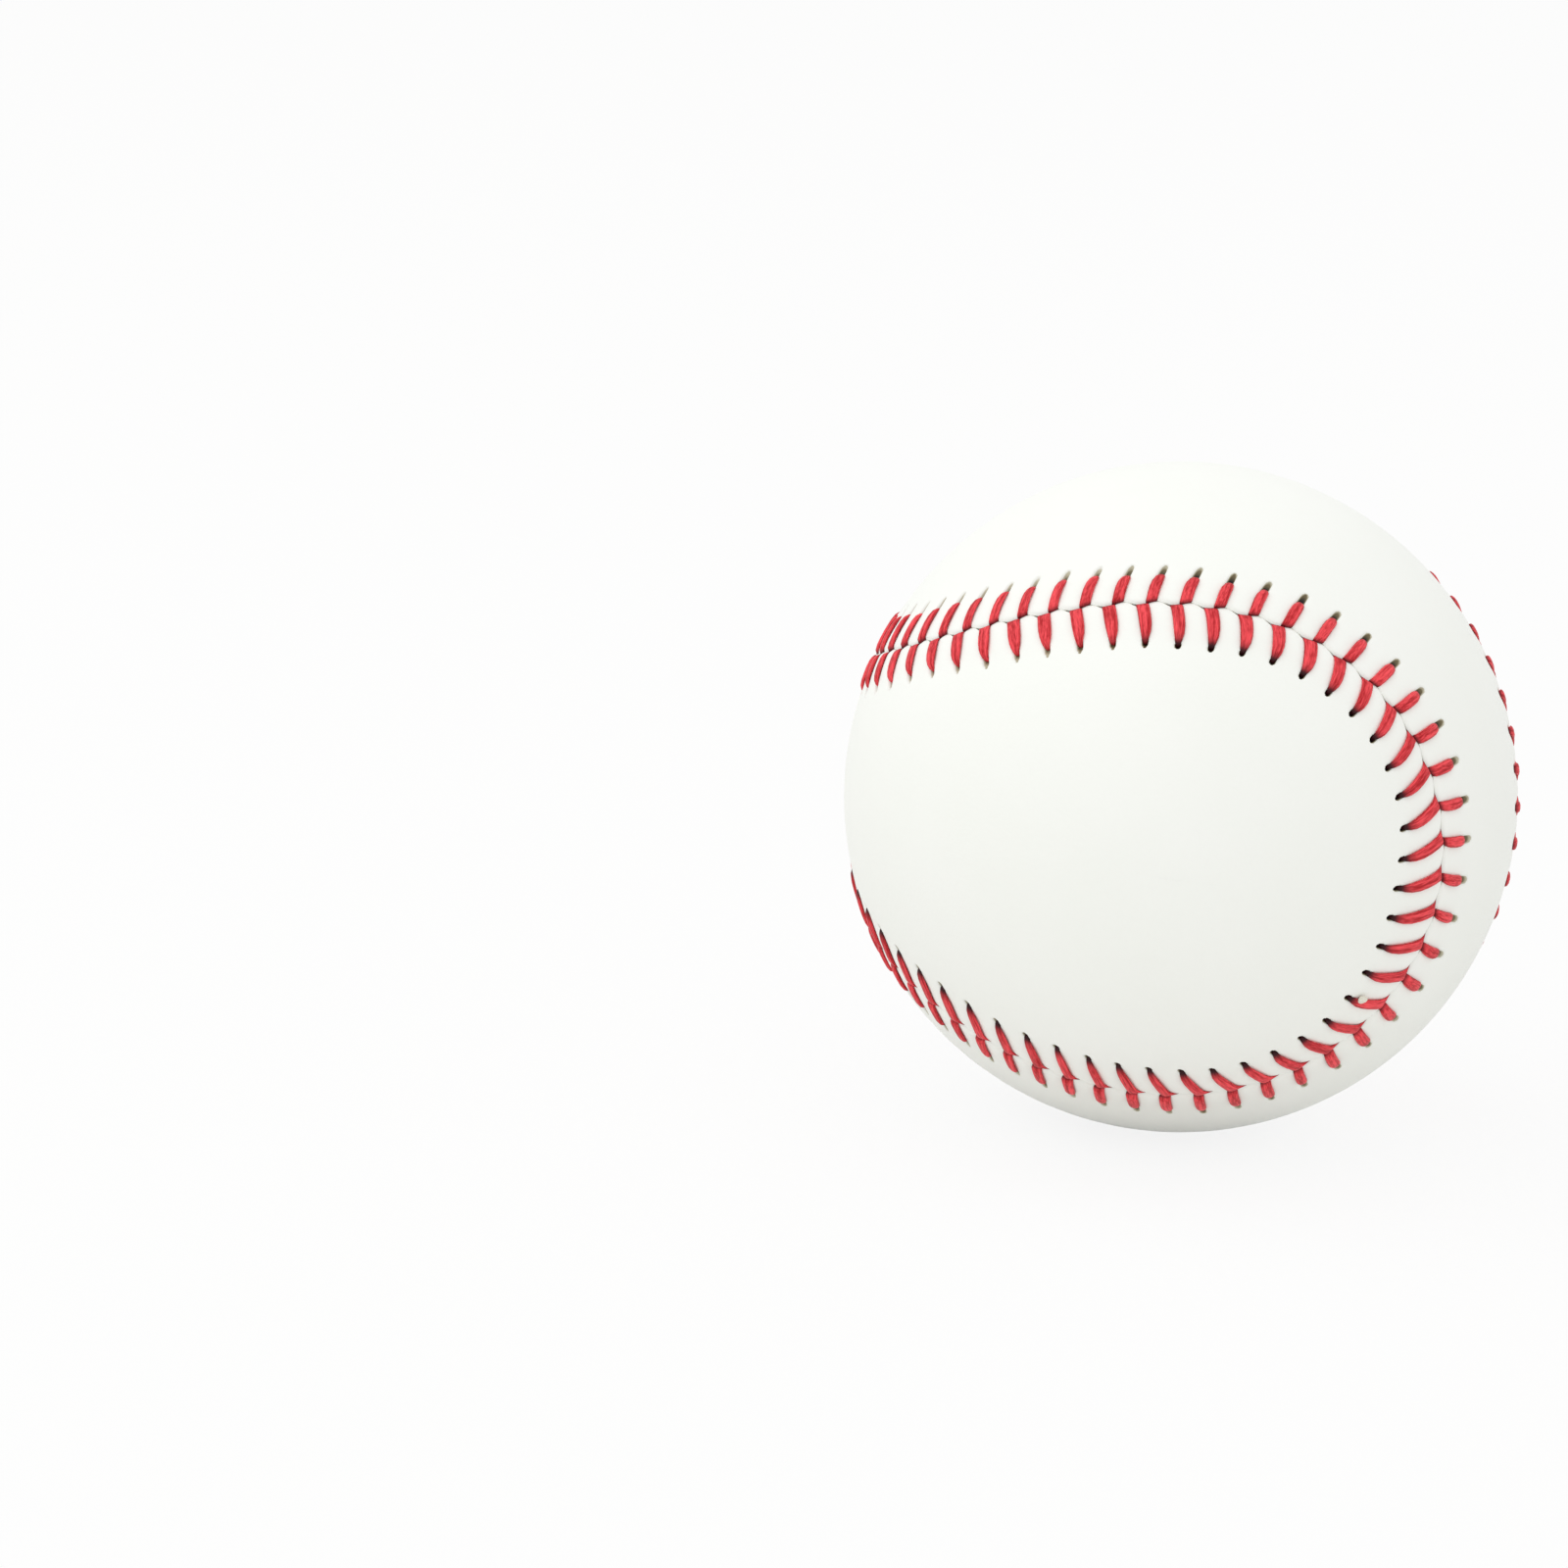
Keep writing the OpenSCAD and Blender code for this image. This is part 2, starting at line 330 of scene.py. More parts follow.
def beside(s, w, side):
    """Directions from the centre of spots s along the seam and w beside it, on one side of it: the
    seam's direction turned by w, and the thread's pull, over the ball's radius."""
    v = seam_angle(s)
    turn = ((side * w + pull(s, w)) / BALL_R)[..., None]
    return seam(v) * np.cos(turn) + seam_across(v) * np.sin(turn)


def slit(q, w, side):
    """How far inside the slit of its stitch a spot lies, from 0 to 1, and how near the thread, from
    0 at the slit's far end to 1. The slit is a blunt oval, wider beside the thread, that reaches a
    little past both ends."""
    x = (q - np.round(q)) * PITCH
    near = (hole_row(q, side) - w) / slit_length(q, side)
    width = SLIT_W[side] * (1 + SLIT_FLARE[side] * (2 * np.clip(near, 0, 1) - 1))
    oval = np.sqrt((2 * x / width) ** 2 + ((near - OVAL_MIDDLE) / OVAL_HALF) ** OVAL_POWER)
    return smooth((WALL_START - oval) / WALL_W), np.clip(near, 0, 1)


def relief(q, w, side):
    """Height of the cover over the ball's round face, at stitch place q and distance w. The edge
    rolls down by a bell curve, pillows rise between the stitches by a raised cosine along the seam
    and a squared sine across it, the thread dents the cover by a bell curve, and the slit of each
    hole is deep beside the thread and runs out at its far end."""
    x = (q - np.round(q)) * PITCH
    far = hole_row(q, side)
    t = np.clip(w / far, 0, 1)
    edge = -EDGE_ROLL_T * np.exp(-(w / EDGE_ROLL_W) ** 2)
    between = 0.5 - 0.5 * np.cos(2 * math.pi * q)
    pillow = PILLOW_T * between * np.sin(math.pi * t**PILLOW_SKEW) ** 2
    past = smooth((w - far) / SLIT_LENGTH[side] + 1)
    dent = -DENT_T * np.exp(-(x / DENT_W) ** 2) * (1 - past)
    inside, near = slit(q, w, side)
    return edge + pillow + dent - SLIT_T * inside * part(FAR_DEPTH, 1, near)


# Rows of a cover panel's grid across its outer face: shares of the way from the seam to the far
# ends of the holes, from there to the edge of the band, and from there to the panel's spine
EDGE_SHARES = np.array([0, 0.012, 0.028, 0.05, 0.08, 0.12])
NEAR_SHARES = np.concatenate([EDGE_SHARES, np.linspace(0.17, 0.66, 8), np.linspace(0.7, 1, 15)])
PAST_SHARES = np.array([0.025, 0.05, 0.08, 0.13, 0.22, 0.4, 0.65, 1])
SPINE_SHARES = np.concatenate([np.linspace(0, 1, 13)[1:-1], [0.96, 0.985, 0.995, 0.999]])
# Rows of its inner face, from the spine to the seam: full thickness, then squeezed over the thread
INNER_SPINE_SHARES = np.array([0.75, 0.5, 0.25, 0])
INNER_PAST_SHARES = np.array([0.6, 0.45, 0])
INNER_NEAR_SHARES = np.array([0.66, 0.33, 0])


def panel_rows():
    """The rows of a panel's grid from its inner spine, round its edge at the seam, to its outer one:
    the three shares of the way and the radius, which is 0 on the outer face."""
    inner_r = CORE_R + LAYER_FIT
    squeeze_r = CORE_R + SQUEEZE_FIT
    rows = [(1, 1, share, inner_r) for share in INNER_SPINE_SHARES]
    rows += [(1, INNER_PAST_SHARES[0], 0, inner_r)]
    rows += [(1, share, 0, squeeze_r) for share in INNER_PAST_SHARES[1:]]
    rows += [(share, 0, 0, squeeze_r) for share in INNER_NEAR_SHARES]
    rows += [(share, 0, 0, 0) for share in NEAR_SHARES]
    rows += [(1, share, 0, 0) for share in PAST_SHARES]
    return rows + [(1, 1, share, 0) for share in SPINE_SHARES]


def spine(side):
    """The middle line of a panel, from one lobe to the other, with one direction for each pair of
    facing columns and one for each end: an arc about the ball's centre in the panel's own plane of
    symmetry."""
    half = STITCH_COUNT * STITCH_COLUMNS // 2
    turn = np.linspace(-SPINE_REACH, SPINE_REACH, half + 1)
    if side > 0:
        return np.stack([np.cos(turn), 0 * turn, np.sin(turn)], -1)
    return np.stack([-np.cos(turn), -np.sin(turn), 0 * turn], -1)


def part_way(a, b, share):
    """Directions part of the way from a to b along the great circle through both."""
    angle = np.arccos(np.clip((a * b).sum(-1, keepdims=True), -1, 1))
    return (a * np.sin((1 - share) * angle) + b * np.sin(share * angle)) / np.sin(angle)


def spine_faces(rim, spots):
    """The faces between a panel's last row and its spine. Each end column stops short of the spine,
    and one face spans it and its two neighbours."""
    half = len(rim) // 2
    i = np.delete(np.arange(len(rim)), [0, half - 1, half, len(rim) - 1])
    pair = np.where(i < half, i, len(rim) - i)
    after = np.where(i < half, i + 1, len(rim) - i - 1)
    sides = np.stack([rim[i], rim[i + 1], spots[after], spots[pair]], -1)
    tips = ((0, 1), (half, half - 1))
    ends = [[rim[tip - 1], rim[tip], rim[tip + 1], spots[spot]] for tip, spot in tips]
    return np.concatenate([sides, ends])


def panel_surface(side):
    """Points, faces and slit values of a closed cover panel. Columns follow the stitches along the
    seam, crowded towards the holes by a sine; rows run from the panel's spine inside the ball, round
    the edge at the seam, and back to the spine outside. Facing columns share a spot on the spine."""
    count = STITCH_COUNT * STITCH_COLUMNS
    i = np.arange(count)
    q = i / STITCH_COLUMNS - COLUMN_CROWD * np.sin(2 * math.pi * i / STITCH_COLUMNS) / (2 * math.pi)
    # Panel a's spine starts at three quarters of the seam, panel b's at its beginning
    q = q + STITCH_COUNT * (3 / 4 if side > 0 else 0)
    middle = spine(side)
    pair = np.where(i <= count // 2, i, count - i)
    x = (q - np.round(q)) * PITCH
    bell = np.exp(-((x + DIVE_LAG[side]) / DIVE_REACH) ** 2)
    edge = JOINT_W / 2 + DIVE_W[side] * bell
    far = hole_row(q, side)
    rows, slits = [], []
    for near_share, past_share, spine_share, radius in panel_rows():
        w = edge + near_share * (far - edge) + past_share * (BAND_W - far)
        ray = beside(leg_line(q, w, side), w, side)
        outer = radius == 0
        if spine_share:
            ray = part_way(ray, middle[pair], spine_share)
        height = relief(q, w, side) * (spine_share == 0)
        inside, near = slit(q, w, side)
        rows.append(ray * (BALL_R + height if outer else np.full(count, radius))[:, None])
        # Painted shade in the slit: deepest beside the thread, less at its far end and at a pale hole
        shown = inside * part(far_shade(q, side), 1, near) * hole_shade(q, side) * outer
        # At the seam's edge: the raw edge, and painted shade in the joint where the thread goes down
        slits.append(EDGE_HIDE_AND_SHADE * bell if near_share == 0 else shown * (spine_share == 0))
    n = len(rows)
    spots = middle[1:-1]
    points = np.concatenate(rows + [spots * (CORE_R + LAYER_FIT), spots * BALL_R])
    slits = np.concatenate(slits + [np.zeros(2 * len(spots))])
    index = np.arange(n * count).reshape(n, count)
    after = np.roll(index, -1, axis=1)
    faces = np.stack([index[:-1], after[:-1], after[1:], index[1:]], -1).reshape(-1, 4)
    # The spine's spots are numbered after the rows, without its two ends
    inner_spots = n * count + np.arange(len(middle)) - 1
    inner = spine_faces(index[0], inner_spots)[:, ::-1]
    outer = spine_faces(index[-1], inner_spots + len(spots))
    faces = np.concatenate([faces, inner, outer])
    return points, faces if side > 0 else faces[:, ::-1], slits


# The rings of a stitch's leg, from its hole to the seam. Each has the share of the way from the seam
# to where the thread goes down, the height of its middle over the ball in thicknesses, its thickness
# as a share of the full one, and how far it leans over where the thread goes down.
RING_SHARES = np.array([
    [1.00, -2.10, 0.60, 1.00],
    [0.99, -0.90, 0.70, 0.90],
    [0.95, -0.15, 0.80, 0.55],
    [0.87, 0.26, 0.90, 0.20],
    [0.74, 0.42, 1.00, 0.00],
    [0.55, 0.46, 1.00, 0.00],
    [0.36, 0.45, 1.00, 0.00],
    [0.20, 0.38, 1.00, -0.05],
    [0.09, 0.22, 0.90, -0.30],
    [0.03, -0.25, 0.70, -0.80],
    [0.00, -2.10, 0.60, -1.00],
])
REACH, HEIGHT, THICK, LEAN = RING_SHARES.T
FULL_LEAN = math.radians(80)
# The rings' widths on the side of the leg's line where its tip lies, and on the other, as shares of
# the full one: on panel a the leg ends aslant, on panel b it tapers
TIP_SHARES = {
    1: np.array([0.50, 0.55, 0.76, 0.92, 1.00, 1.00, 1.00, 1.00, 1.00, 0.95, 0.60]),
    -1: np.array([0.46, 0.50, 0.58, 0.68, 0.84, 1.00, 1.04, 1.03, 1.00, 0.95, 0.60]),
}
BLUNT_SHARES = {
    1: np.array([0.25, 0.28, 0.42, 0.66, 0.92, 1.00, 1.00, 1.00, 1.00, 0.95, 0.60]),
    -1: np.array([0.40, 0.44, 0.56, 0.74, 0.96, 1.06, 1.04, 1.00, 0.98, 0.95, 0.60]),
}
# How much painted shade each ring has, where the thread goes down into its hole and into the seam
THREAD_SHADE_SHARES = {
    1: np.array([1.0, 1.0, 0.60, 0.22, 0.03, 0.00, 0.00, 0.00, 0.20, 0.70, 1.0]),
    -1: np.array([1.0, 1.0, 0.92, 0.50, 0.18, 0.03, 0.00, 0.00, 0.20, 0.70, 1.0]),
}
# The thread's section: flat, rounded at its edges, with a low crown
SECTION_SHARES = np.array([
    [-1, -0.1], [-0.8, 0.6], [-0.35, 0.95], [0.35, 0.95],
    [0.8, 0.6], [1, -0.1], [0.55, -0.9], [-0.55, -0.9],
])
# Streaks of the thread's fibres round it, and along it from one ring to the next
STREAKS_ROUND = 20
STREAKS_ALONG = 0.9
# The strands that the fibres lie in: shares of the streaks' own scale round the thread and along it
STRAND_SHARES = (0.4, 0.16, 1)


def stitch_rings(q, side):
    """The rings of one leg of a stitch. Every ring lies along the seam: its two edges are half a
    width ahead of and behind the leg's line, widened where the leg runs askew. The tip lies on the
    side the leg isn't bowed to. The rear edge reaches back along the seam in a tail, and on the
    waist the base is pinched in, half as much behind as ahead, both with the square of the nearness
    to the seam."""
    slimmer = SLIMMER[side] * np.maximum(0, np.sin(2 * seam_angle(point_at(q)))) ** SLIMMER_POWER
    full = LEG_W[side] * (1 - slimmer + stray(q, side, "leg_width"))
    w = REACH * (hole_row(q, side) - slit_length(q, side))
    line = leg_line(q, w, side)
    askew = np.sqrt(1 + np.gradient(line, w) ** 2)
    lead = max(0, float(hole_lead(q, side)))
    tail = (TAIL[side] + TAIL_LEAD[side] * lead) * np.clip(1 - w / TAIL_REACH, 0, 1) ** 2
    pinch = PINCH[side] * lobe_end(q, -side) * np.clip(1 - w / PINCH_REACH, 0, 1) ** 2
    rear = smooth(0.5 + leg_bow(q, side) / TIP_BOW)
    half = full / 2 * askew
    behind = half * part(BLUNT_SHARES[side], TIP_SHARES[side], rear) + tail - pinch / 2
    ahead = half * part(TIP_SHARES[side], BLUNT_SHARES[side], rear) - pinch
    section = SECTION_SHARES if side > 0 else np.roll(SECTION_SHARES[::-1], 1, axis=0)
    across, up = section[:, 0], section[:, 1] * LEG_T / 2 * THICK[:, None]
    s = line[:, None] + np.where(across < 0, behind[:, None], ahead[:, None]) * across
    lean = LEAN[:, None] * FULL_LEAN
    height = LEG_T * HEIGHT[:, None] + up * np.cos(lean)
    return beside(s, w[:, None] + up * np.sin(lean), side) * (BALL_R + height)[..., None]


def stitching_surface(first_side):
    """Points, faces, lay and painted shade of one strand, a closed tube that runs through every other
    stitch of each side, and under the cover from the seam to the next hole. At a pale hole the
    thread has less painted shade too, with the square of the hole's own."""
    stitches = range(STITCH_COUNT - 1, -1, -1)
    legs = [(k, first_side if k % 2 == 0 else -first_side) for k in stitches]
    rings = np.concatenate([stitch_rings(k, side) for k, side in legs])
    near_hole = REACH > 0.5
    # Painted shade on the thread where it goes down, less at a pale hole
    dark = [np.where(near_hole, hole_shade(k, side) ** 2, 1) * THREAD_SHADE_SHARES[side] for k, side in legs]
    dark = np.concatenate(dark)
    count, around = rings.shape[:2]
    corner_steps = ((0, 0), (1, 0), (1, 1), (0, 1))
    i, j = np.meshgrid(np.arange(count), np.arange(around), indexing="ij")
    faces = [(i + di) % count * around + (j + dj) % around for di, dj in corner_steps]
    lay = [((j + dj) * STREAKS_ROUND / around, (i + di) * STREAKS_ALONG) for di, dj in corner_steps]
    lay = np.stack([np.stack(corner, -1) for corner in lay], -2)
    return rings.reshape(-1, 3), np.stack(faces, -1).reshape(-1, 4), lay, np.repeat(dark, around)


class Value:
    """A shader socket that adds Math nodes when it is used in an expression."""

    def __init__(self, finish, socket):
        self.finish = finish
        self.socket = socket

    def math(self, operation, a, b):
        return self.finish.node("ShaderNodeMath", {"operation": operation}, {0: a, 1: b})

    def __add__(self, other):
        return self.math("ADD", self, other)

    def __radd__(self, other):
        return self.math("ADD", other, self)

    def __sub__(self, other):
        return self.math("SUBTRACT", self, other)

    def __rsub__(self, other):
        return self.math("SUBTRACT", other, self)

    def __mul__(self, other):
        return self.math("MULTIPLY", self, other)

    def __rmul__(self, other):
        return self.math("MULTIPLY", other, self)


class Finish:
    """The nodes of a material or of the world."""

    def __init__(self, owner):
        self.owner = owner
        owner.use_nodes = True
        owner.node_tree.nodes.clear()

    def node(self, kind, settings=None, sockets=None, out=0):
        """Adds a node of a kind: its settings first, then the values or links of its sockets. Gives
        the output asked for."""
        made = self.owner.node_tree.nodes.new(kind)
        for key, value in (settings or {}).items():
            setattr(made, key, value)
        for key, value in (sockets or {}).items():
            if isinstance(value, Value):
                self.owner.node_tree.links.new(value.socket, made.inputs[key])
            else:
                made.inputs[key].default_value = value
        return None if out is None else Value(self, made.outputs[out])

    def place(self):
        """Object coordinates, in metres."""
        return self.node("ShaderNodeTexCoord", out="Object")

    def stored(self, name):
        """A value that the mesh holds for each of its points."""
        return self.node("ShaderNodeAttribute", {"attribute_name": name}, out="Fac")

    def noise(self, place, size, detail=2.0, roughness=0.5):
        """Noise from 0 to 1 whose lumps are about size millimetres across."""
        sockets = {"Vector": place, "Scale": 1 / (size * MM), "Detail": detail, "Roughness": roughness}
        return self.node("ShaderNodeTexNoise", {}, sockets)

    def mix(self, a, b, mask):
        """Colour a where mask is 0, colour b where it is 1."""
        return self.node("ShaderNodeMix", {"data_type": "RGBA"}, {0: mask, 6: a, 7: b}, out=2)

    def ramp(self, value, low, high):
        """0 up to low, 1 from high, and smooth between."""
        settings = {"interpolation_type": "SMOOTHSTEP"}
        sockets = {"Value": value, "From Min": low, "From Max": high}
        return self.node("ShaderNodeMapRange", settings, sockets)

    def bump(self, height, depth):
        """A normal from a height of 0 to 1 that stands for depth millimetres."""
        return self.node("ShaderNodeBump", {}, {"Height": height, "Distance": depth * MM})

    def surface(self, **sockets):
        """The one shader of the surface, with its sockets given by name."""
        named = {key.replace("_", " "): value for key, value in sockets.items()}
        shader = self.node("ShaderNodeBsdfPrincipled", {}, named)
        self.node("ShaderNodeOutputMaterial", {}, {"Surface": shader}, out=None)
        return self.owner

    def unseen(self):
        """1 for light that reaches the surface by way of others, and 0 for what the camera sees,
        straight or in a mirror or through glass."""
        seen = 0
        for kind in ("Is Camera Ray", "Is Glossy Ray", "Is Transmission Ray"):
            seen = self.node("ShaderNodeLightPath", out=kind) + seen
        return 1 - seen


def colour(r, g, b):
    """A colour given on a byte scale, 0 to 255, as the shader's own linear values."""
    share = np.array([r, g, b]) / 255
    linear = np.where(share <= 0.04045, share / 12.92, ((share + 0.055) / 1.055) ** 2.4)
    return (*linear.tolist(), 1.0)


WHITE = (1.0, 1.0, 1.0, 1.0)


def new_finish(name):
    """The nodes of a new material."""
    return Finish(bpy.data.materials.new(name))


# The raw hide in a slit, from its far end to the thread: each tone, and the slit's values from which
# it starts to show and shows alone. The pale and olive tones are the hide's own; the black beside the
# thread is painted shade deep in the hole
HIDE_AND_SHADE_STOPS = (
    ((192, 186, 162), 0.08, 0.28),
    ((116, 104, 76), 0.3, 0.5),
    ((20, 13, 15), 0.52, 0.82),
)


def cover_leather():
    """White leather: a fine grain, a faint drift of tone, and in the slits raw hide that goes from
    pale at the far end, by way of olive, to black painted shade beside the thread."""
    f = new_finish("cover_leather")
    place = f.place()
    drift = f.noise(place, size=14, detail=3)
    tone = f.mix(colour(246, 248, 242), colour(250, 251, 247), drift)
    inside = f.stored("slit")
    # The slit value brings in the hide's tones, and towards its top the black of painted shade
    for shade, start, end in HIDE_AND_SHADE_STOPS:
        tone = f.mix(tone, colour(*shade), f.ramp(inside, start, end))
    grain = f.noise(place, size=0.5, detail=4, roughness=0.6)
    normal = f.bump(grain, depth=0.03)
    return f.surface(Base_Color=tone, Roughness=0.5, Specular_IOR_Level=0.3, Normal=normal)


def waxed_thread():
    """Red waxed cotton, pressed flat: strands with fine fibres along the thread, and painted shade
    where it goes down."""
    f = new_finish("waxed_thread")
    lay = f.node("ShaderNodeUVMap", {"uv_map": "lay"})
    fibres = f.node("ShaderNodeTexNoise", {}, {"Vector": lay, "Scale": 1.0, "Detail": 3.0})
    long_lay = f.node("ShaderNodeMapping", {}, {"Vector": lay, "Scale": STRAND_SHARES})
    strands = f.node("ShaderNodeTexNoise", {}, {"Vector": long_lay, "Scale": 1.0, "Detail": 1.0})
    streaks = 0.5 * fibres + 0.5 * strands
    red = f.mix(colour(174, 8, 20), colour(255, 82, 90), f.ramp(streaks, 0.34, 0.66))
    # Painted shade, dark red to black, where the thread goes down into its hole and into the seam
    red = f.mix(red, colour(50, 3, 12), f.ramp(f.stored("dark"), 0.05, 0.95))
    normal = f.bump(streaks, depth=0.1)
    return f.surface(Base_Color=red, Roughness=0.5, Specular_IOR_Level=0.25, Normal=normal)


def new_piece(name, points, faces, material, slot, *nodes):
    """A smooth mesh from points in millimetres, riding on the ball's one body, in place of the nodes
    named."""
    mesh = bpy.data.meshes.new(name)
    mesh.from_pydata((points * MM).tolist(), [], faces)
    mesh.materials.append(material)
    mesh.shade_smooth()
    piece = bpy.data.objects.new(name, mesh)
    bpy.context.scene.collection.objects.link(piece)
    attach(piece, "root")
    if nodes:
        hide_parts(*nodes)
    return piece


def store(piece, name, values):
    """Keeps a value for each of the piece's points, for its material to read."""
    kept = piece.data.attributes.new(name, "FLOAT", "POINT")
    kept.data.foreach_set("value", values.astype(np.float32))


def add_panels():
    """Both cover panels."""
    leather = cover_leather()
    for name, side in (("a", 1), ("b", -1)):
        points, faces, slits = panel_surface(side)
        node = f"cover_panel_{name}"
        piece = new_piece(f"leather_panel_{name}", points, faces.tolist(), leather, "cover", node)
        store(piece, "slit", slits)


def add_stitching():
    """Both strands of the thread, each with a map of its lay: around the thread, and along it."""
    thread = waxed_thread()
    for name, side in (("a", 1), ("b", -1)):
        points, faces, lay, dark = stitching_surface(side)
        node = f"seam_thread_{name}"
        piece = new_piece(f"stitching_{name}", points, faces.tolist(), thread, "seam_thread", node)
        uv_map = piece.data.uv_layers.new(name="lay")
        uv_map.data.foreach_set("uv", lay.astype(np.float32).ravel())
        store(piece, "dark", dark)


def raw_hide():
    """Pale, matt, fibrous hide."""
    f = new_finish("raw_hide")
    fuzz = f.noise(f.place(), size=0.2, detail=3, roughness=0.6)
    tone = f.mix(colour(214, 208, 186), colour(246, 245, 236), fuzz)
    return f.surface(Base_Color=tone, Roughness=0.8, Normal=f.bump(fuzz, depth=0.05))


# The fleck on one stitch of panel b: which, its share of the way along the leg from the seam, how far
# it lies behind the leg's middle, its half sizes along the seam, across it and upwards, and how high
# its middle lies
FLECK_STITCH = 60
FLECK_SHARE = 0.7
FLECK_LAG = 0.7
FLECK_HALF = np.array([0.53, 0.53, 0.34])
FLECK_UP = 0.46
# A short way along the seam, to read the fleck's own direction off
FLECK_STEP = 0.2
# Its rings and their corners, and how far waves of two and three to the turn bend it out of round,
# and where the first of them starts
FLECK_RINGS = 5
FLECK_CORNERS = 12
FLECK_BENDS = (0.13, 0.06)
FLECK_START = 1.7


def add_fleck():
    """A fleck of raw hide that the needle has left on one stitch: a flattened ball, made of rings
    between two poles, and bent out of round by two waves."""
    w = FLECK_SHARE * hole_row(FLECK_STITCH, -1)
    s = leg_line(FLECK_STITCH, w, -1) - FLECK_LAG
    middle = beside(s, w, -1)
    ahead = unit(beside(s + FLECK_STEP, w, -1) - middle)
    axes = np.stack([ahead, np.cross(middle, ahead), middle])
    tilt, turn = np.meshgrid(
        np.linspace(0, math.pi, FLECK_RINGS + 2)[1:-1],
        np.linspace(0, 2 * math.pi, FLECK_CORNERS, endpoint=False),
        indexing="ij",
    )
    long_bend = FLECK_BENDS[0] * np.cos(2 * turn + FLECK_START)
    short_bend = FLECK_BENDS[1] * np.cos(3 * turn)
    wide = np.sin(tilt) * (1 + long_bend + short_bend)
    rings = np.stack([wide * np.cos(turn), wide * np.sin(turn), np.cos(tilt)], -1).reshape(-1, 3)
    spots = np.concatenate([rings, [[0, 0, 1], [0, 0, -1]]])
    points = middle * (BALL_R + FLECK_UP) + (spots * FLECK_HALF) @ axes
    index = np.arange(len(rings)).reshape(FLECK_RINGS, FLECK_CORNERS)
    after = np.roll(index, -1, axis=1)
    faces = np.stack([index[:-1], index[1:], after[1:], after[:-1]], -1).reshape(-1, 4).tolist()
    faces += [(len(rings), a, b) for a, b in zip(index[0].tolist(), after[0].tolist())]
    faces += [(len(rings) + 1, b, a) for a, b in zip(index[-1].tolist(), after[-1].tolist())]
    new_piece("hide_fleck", points, faces, raw_hide(), "cover")


# Width of a granule of the cork
GRANULE_W = 1.4


def pressed_cork():
    """Cork granules pressed together: a tone for each granule, with fine pits between them."""
    f = new_finish("pressed_cork")
    settings = {"feature": "F1"}
    sockets = {"Vector": f.place(), "Scale": 1 / (GRANULE_W * MM)}
    tone = f.node("ShaderNodeTexVoronoi", settings, sockets, out="Color")
    rim = f.node("ShaderNodeTexVoronoi", settings, sockets, out="Distance")
    granule = f.node("ShaderNodeSeparateColor", {}, {"Color": tone}, out="Red")
    brown = f.mix(colour(150, 108, 66), colour(206, 164, 112), granule)
    brown = f.mix(brown, colour(84, 54, 34), f.ramp(rim, 0.45, 0.9))
    return f.surface(Base_Color=brown, Roughness=0.85, Normal=f.bump(1 - rim, depth=0.2))


def moulded_rubber(name, low, high):
    """Matt moulded rubber: a cloudy tone and a fine skin."""
    f = new_finish(name)
    place = f.place()
    tone = f.mix(low, high, f.noise(place, size=5, detail=4))
    skin = f.noise(place, size=0.25, detail=3, roughness=0.6)
    normal = f.bump(skin, depth=0.04)
    return f.surface(Base_Color=tone, Roughness=0.6 + 0.2 * skin, Normal=normal)


# Turns of the yarn's lay about each axis, in degrees, how wide the patches of the second lay are and
# those of the third, and the values of the noise between which each takes over
YARN_TURNS = ((0, 35, 20), (70, 0, 65), (25, 110, 0))
YARN_PATCHES = (16, 11.2)
PATCH_STOPS = ((0.47, 0.53), (0.5, 0.56))
# How much the waves of a lay wander, and how much fuzz shows in the yarn's tone and in its height
YARN_WANDER = 1.2
# How much the strands' painted shade and light show in the yarn's tone
STRAND_TONE = 0.75
FUZZ_TONE = 0.35
FUZZ_HEIGHT = 0.4
# Blender's wave texture has this many waves to a unit at scale 1
WAVES_A_UNIT = 20 / (2 * math.pi)


def wound_yarn(name, low, high, yarn_w):
    """Yarn of a width in millimetres, wound over itself in patches of parallel strands: three sets of
    waves, each turned its own way, take turns by smooth noise, from painted shade in the joints
    between the strands to painted light on their backs."""
    f = new_finish(name)
    place = f.place()
    scale = 1 / (yarn_w * MM * WAVES_A_UNIT)
    wander = {"Scale": scale, "Distortion": YARN_WANDER, "Detail": 1.0, "Detail Scale": 0.3}
    lays = []
    for turns in YARN_TURNS:
        turned = {"Vector": place, "Rotation": tuple(math.radians(turn) for turn in turns)}
        waves = {"Vector": f.node("ShaderNodeMapping", {}, turned), **wander}
        lays.append(f.node("ShaderNodeTexWave", {"wave_type": "BANDS"}, waves, out="Fac"))
    second = f.ramp(f.noise(place, size=YARN_PATCHES[0]), *PATCH_STOPS[0])
    third = f.ramp(f.noise(place, size=YARN_PATCHES[1], detail=1), *PATCH_STOPS[1])
    strands = part(lays[0], lays[1], second)
    strands = part(strands, lays[2], third)
    fuzz = f.noise(place, size=0.2, detail=4, roughness=0.7)
    # Painted shade between the strands and painted light on their backs, with the fuzz
    tone = f.mix(low, high, strands * STRAND_TONE + fuzz * FUZZ_TONE)
    normal = f.bump(strands + fuzz * FUZZ_HEIGHT, depth=0.25)
    return f.surface(Base_Color=tone, Roughness=0.9, Normal=normal)


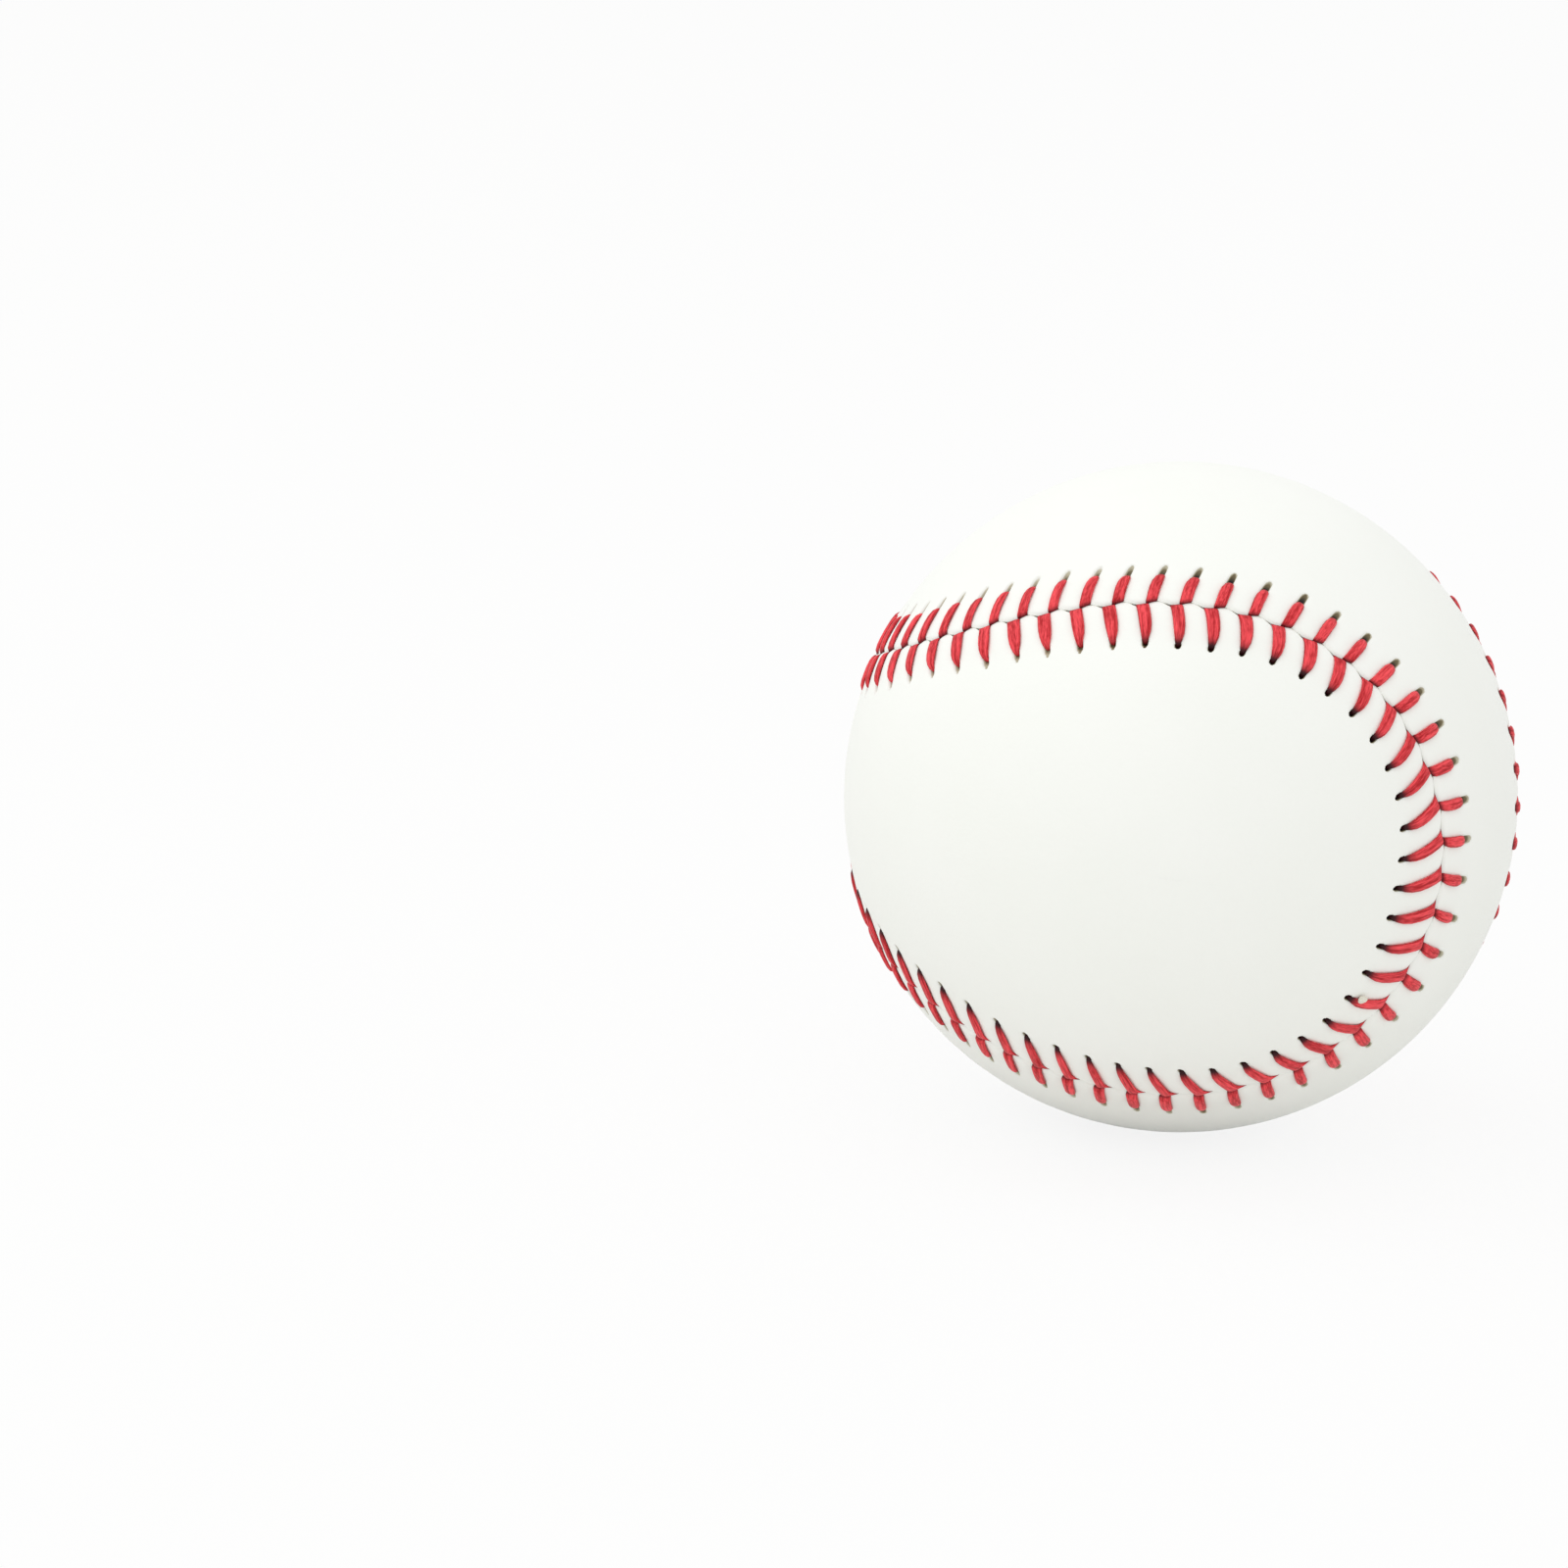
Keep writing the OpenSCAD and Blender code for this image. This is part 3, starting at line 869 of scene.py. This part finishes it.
def dress_core():
    """The finishes of the layers under the cover, put on the frame's own nodes."""
    black = moulded_rubber("black_rubber", colour(24, 24, 25), colour(44, 43, 42))
    red = moulded_rubber("red_rubber", colour(150, 34, 24), colour(182, 52, 36))
    grey = wound_yarn("grey_wool", colour(84, 84, 88), colour(168, 166, 168), yarn_w=1.1)
    fine_grey = wound_yarn("fine_grey_wool", colour(84, 84, 88), colour(168, 166, 168), yarn_w=0.8)
    white = wound_yarn("white_wool", colour(170, 166, 152), colour(238, 236, 226), yarn_w=0.9)
    yarn = wound_yarn("white_yarn", colour(186, 182, 164), colour(246, 244, 232), yarn_w=0.5)
    finishes = {
        "cork_core": pressed_cork(),
        "black_rubber_shell_a": black,
        "black_rubber_shell_b": black,
        "shell_gasket": red,
        "red_rubber_jacket": red,
        "first_winding": grey,
        "second_winding": white,
        "third_winding": fine_grey,
        "finishing_winding": yarn,
    }
    for name, finish in finishes.items():
        for slot in bpy.data.objects[name].material_slots:
            slot.material = finish


# The floor's reach from the ball in metres, and how much of it shows as plain white where it is seen
FLOOR_REACH = 8.0
FLOOR_GLOW = 0.86


def add_floor():
    """A wide pale floor at the ball's foot. It shows as nearly white, with a soft shadow."""
    f = new_finish("pale_floor")
    matt = f.node("ShaderNodeBsdfDiffuse", {}, {"Color": colour(240, 240, 238)})
    glow = f.node("ShaderNodeEmission", {}, {"Color": WHITE, "Strength": 1.0})
    seen = (1 - f.unseen()) * FLOOR_GLOW
    shown = f.node("ShaderNodeMixShader", {}, {0: seen, 1: matt, 2: glow})
    f.node("ShaderNodeOutputMaterial", {}, {"Surface": shown}, out=None)
    foot = -BALL_R * MM
    sides = ((-1, -1), (1, -1), (1, 1), (-1, 1))
    corners = [(x * FLOOR_REACH, y * FLOOR_REACH, foot) for x, y in sides]
    mesh = bpy.data.meshes.new("floor")
    mesh.from_pydata(corners, [], [(0, 1, 2, 3)])
    mesh.materials.append(f.owner)
    floor = bpy.data.objects.new("floor", mesh)
    bpy.context.scene.collection.objects.link(floor)


# The camera: where it stands as seen from the ball, which way is up in its picture, how far it is in
# metres, and, in the pixels of a square picture, the picture's side, the lens's focal length, and
# how far right of the middle and below it the ball's centre lies
TO_CAMERA = Vector((0.33236, -0.91412, 0.23220))
CAMERA_UP = Vector((-0.14015, 0.19559, 0.97062))
CAMERA_DISTANCE = 0.617
PICTURE_PX = 1600
FOCAL_PX = 5669
BALL_RIGHT_PX = 403.0
BALL_DOWN_PX = 13.0
SENSOR_MM = 36.0


def add_camera():
    """The camera looks past the ball, so that the ball stands right of the middle: the view along
    the line to the ball is turned by the rotation that takes the middle of the picture to the
    ball's place in it. Gives the axes of the view along that line: right, up and back."""
    back = TO_CAMERA.normalized()
    right = CAMERA_UP.cross(back).normalized()
    up = back.cross(right)
    square_on = Matrix((right, up, back)).transposed()
    ball_ray = Vector((BALL_RIGHT_PX, -BALL_DOWN_PX, -FOCAL_PX)).normalized()
    aside = Vector((0, 0, -1)).rotation_difference(ball_ray).to_matrix()
    turned = square_on @ aside.inverted()
    camera = bpy.data.objects.new("camera", bpy.data.cameras.new("camera"))
    camera.data.sensor_width = SENSOR_MM
    camera.data.lens = FOCAL_PX / PICTURE_PX * SENSOR_MM
    camera.matrix_world = Matrix.Translation(back * CAMERA_DISTANCE) @ turned.to_4x4()
    bpy.context.scene.collection.objects.link(camera)
    bpy.context.scene.camera = camera
    return square_on


# The lamp: its side and its distance in metres, its power in watts, and where it hangs, to the
# right of the ball, above it and towards the camera. Then the strength of the white world
LAMP_SIZE = 1.2
LAMP_DISTANCE = 1.0
LAMP_POWER = 2.4
LAMP_PLACE = (-0.45, 0.86, 0.45)
SKY_STRENGTH = 0.9


def add_light(square_on):
    """A broad soft lamp above and to the left, placed by the axes of the camera's view, and an even
    white world that the camera sees as plain white."""
    lamp = bpy.data.lights.new("soft_lamp", "AREA")
    lamp.size = LAMP_SIZE
    lamp.energy = LAMP_POWER
    holder = bpy.data.objects.new("soft_lamp", lamp)
    way = (square_on @ Vector(LAMP_PLACE)).normalized()
    turned = way.to_track_quat("Z", "Y").to_matrix().to_4x4()
    holder.matrix_world = Matrix.Translation(way * LAMP_DISTANCE) @ turned
    bpy.context.scene.collection.objects.link(holder)
    world = bpy.data.worlds.new("studio")
    bpy.context.scene.world = world
    f = Finish(world)
    sky = f.node("ShaderNodeBackground", {}, {"Color": WHITE, "Strength": SKY_STRENGTH})
    seen = f.node("ShaderNodeBackground", {}, {"Color": WHITE, "Strength": 1.0})
    shown = f.node("ShaderNodeMixShader", {}, {0: f.unseen(), 1: seen, 2: sky})
    f.node("ShaderNodeOutputWorld", {}, {"Surface": shown}, out=None)


add_light(add_camera())
add_panels()
add_stitching()
add_fleck()
dress_core()
add_floor()

bpy.context.scene.view_settings.view_transform = "Standard"
